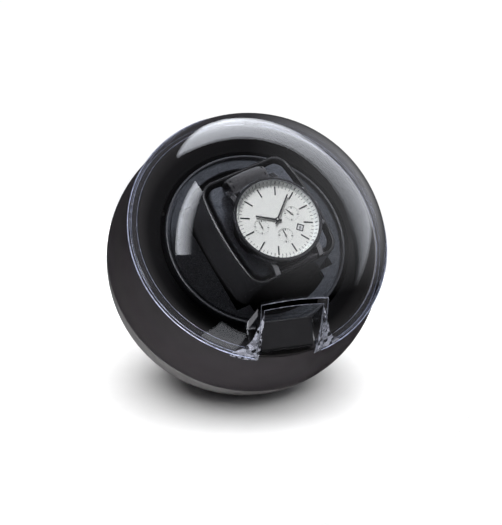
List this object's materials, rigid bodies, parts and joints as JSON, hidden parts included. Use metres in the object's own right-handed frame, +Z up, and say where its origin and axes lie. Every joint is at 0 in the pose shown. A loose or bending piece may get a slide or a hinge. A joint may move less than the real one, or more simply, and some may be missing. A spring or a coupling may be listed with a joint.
{
  "type": "watch winder",
  "caption": "Ball-shaped watch winder: satin spherical body on a rubber foot, clear hinged dome with a finger recess, geared turning drum and cushion carrying a wristwatch.",
  "frame": {"origin": "on the surface it stands on, under the centre of the ball", "axes": "+Z up; -Y is the front, where the tilted opening faces; +X to the right seen from the front"},
  "size_m": [0.1428, 0.1494, 0.1452],
  "materials": {
    "shell_satin": "satin charcoal",
    "rear_grey": "satin mid grey",
    "clear_acrylic": "clear polished",
    "gloss_black": "gloss black",
    "inner_black": "matt black",
    "drum_grain": "fine spark-grain, slate",
    "pad_leatherette": "fine-grained leatherette",
    "strap_leather": "polished black leather",
    "case_steel": "polished steel",
    "bezel_dark": "dark plated",
    "crystal": "clear",
    "dial_silver": "silver-white, fine sunray",
    "hand_dark": "dark plated",
    "steel": "turned",
    "brass": "turned",
    "nylon": "natural nylon",
    "board": "green solder mask",
    "rubber_black": "soft rubber",
    "panel_black": "fine texture"
  },
  "bodies": {
    "housing": {"main_shell": "shell_satin", "rear_shell": "rear_grey", "foot_ring": "rubber_black", "front_bezel": "gloss_black", "finger_tab": "gloss_black", "hinge_pin": "steel", "chassis_plate": "inner_black", "chassis_screws": "steel", "housing_screws": "steel", "shaft_bush": "brass", "motor_gearbox": "steel", "motor_can": "steel", "motor_screws": "steel", "pcb": "board", "pcb_screws": "steel", "rear_panel": "panel_black", "panel_screws": "steel", "mode_switch": "panel_black", "switch_housing": "panel_black", "dc_jack": "panel_black"},
    "cover": {"clear_cover": "clear_acrylic"},
    "drum": {"drum_face": "drum_grain", "drum_cup": "inner_black", "holder_frame": "gloss_black", "holder_screws": "steel", "drum_shaft": "steel", "retaining_clip": "steel", "drum_gear": "nylon"},
    "pinion": {"motor_pinion": "brass", "motor_shaft": "steel"},
    "cushion": {"cushion_pad": "pad_leatherette", "strap_upper": "strap_leather", "strap_lower": "strap_leather", "strap_buckle": "case_steel", "spring_bars": "steel", "watch_case": "case_steel", "watch_bezel": "bezel_dark", "watch_crystal": "crystal", "watch_dial": "dial_silver", "watch_movement": "brass"},
    "minute": {"minute_hand": "hand_dark"},
    "hour": {"hour_hand": "hand_dark"},
    "day": {"day_hand": "hand_dark"},
    "seconds": {"seconds_hand": "hand_dark"},
    "counter": {"counter_hand": "hand_dark"},
    "crown": {"crown": "case_steel"},
    "pusher_a": {"pusher_start": "case_steel"},
    "pusher_b": {"pusher_reset": "case_steel"},
    "rocker": {"power_rocker": "gloss_black"},
    "knob": {"mode_knob": "panel_black"}
  },
  "joints": [
    {"name": "cover_hinge", "type": "hinge", "parent": "housing", "child": "cover", "pos_m": [0, 0.02084, 0.13925], "axis": [-1, 0, 0], "range_deg": [0, 80]},
    {"name": "drum_spin", "type": "hinge", "parent": "housing", "child": "drum", "pos_m": [0, -0.00083, 0.0718], "axis": [0, -0.766, 0.6428], "continuous": true},
    {"name": "pinion_spin", "type": "hinge", "parent": "housing", "child": "pinion", "pos_m": [0, -0.02011, 0.04882], "axis": [0, -0.766, 0.6428], "continuous": true},
    {"name": "cushion_lift", "type": "slide", "parent": "drum", "child": "cushion", "axis": [0, -0.766, 0.6428], "range_m": [0, 0.01]},
    {"name": "minute_spin", "type": "hinge", "parent": "cushion", "child": "minute", "pos_m": [0.00138, -0.0416, 0.10069], "axis": [0, -0.766, 0.6428], "continuous": true},
    {"name": "hour_spin", "type": "hinge", "parent": "cushion", "child": "hour", "pos_m": [0.00138, -0.0416, 0.10069], "axis": [0, -0.766, 0.6428], "continuous": true},
    {"name": "day_spin", "type": "hinge", "parent": "cushion", "child": "day", "pos_m": [0.00953, -0.03982, 0.1028], "axis": [0, -0.766, 0.6428], "continuous": true},
    {"name": "seconds_spin", "type": "hinge", "parent": "cushion", "child": "seconds", "pos_m": [0.00414, -0.04683, 0.09445], "axis": [0, -0.766, 0.6428], "continuous": true},
    {"name": "counter_spin", "type": "hinge", "parent": "cushion", "child": "counter", "pos_m": [-0.00677, -0.04337, 0.09858], "axis": [0, -0.766, 0.6428], "continuous": true},
    {"name": "crown_turn", "type": "hinge", "parent": "cushion", "child": "crown", "pos_m": [0.02222, -0.03553, 0.10481], "axis": [0.9472, 0.2061, 0.2456], "continuous": true},
    {"name": "pusher_a_press", "type": "slide", "parent": "cushion", "child": "pusher_a", "axis": [-0.9472, -0.2061, -0.2456], "range_m": [0, 0.0008], "stiffness_N_per_m": 600},
    {"name": "pusher_b_press", "type": "slide", "parent": "cushion", "child": "pusher_b", "axis": [-0.9472, -0.2061, -0.2456], "range_m": [0, 0.0008], "stiffness_N_per_m": 600},
    {"name": "rocker_tilt", "type": "hinge", "parent": "housing", "child": "rocker", "pos_m": [0.0074, 0.06162, 0.05624], "axis": [0, -0.309, -0.9511], "range_deg": [0, 18]},
    {"name": "knob_turn", "type": "hinge", "parent": "housing", "child": "knob", "pos_m": [-0.0076, 0.06085, 0.05386], "axis": [0, 0.9511, -0.309], "range_deg": [0, 270]}
  ],
  "couplings": [
    {"joint": "pinion_spin", "follows": "drum_spin", "ratio": -3},
    {"joint": "hour_spin", "follows": "minute_spin", "ratio": 0.083333},
    {"joint": "day_spin", "follows": "minute_spin", "ratio": 0.041667},
    {"joint": "seconds_spin", "follows": "minute_spin", "ratio": 60}
  ]
}
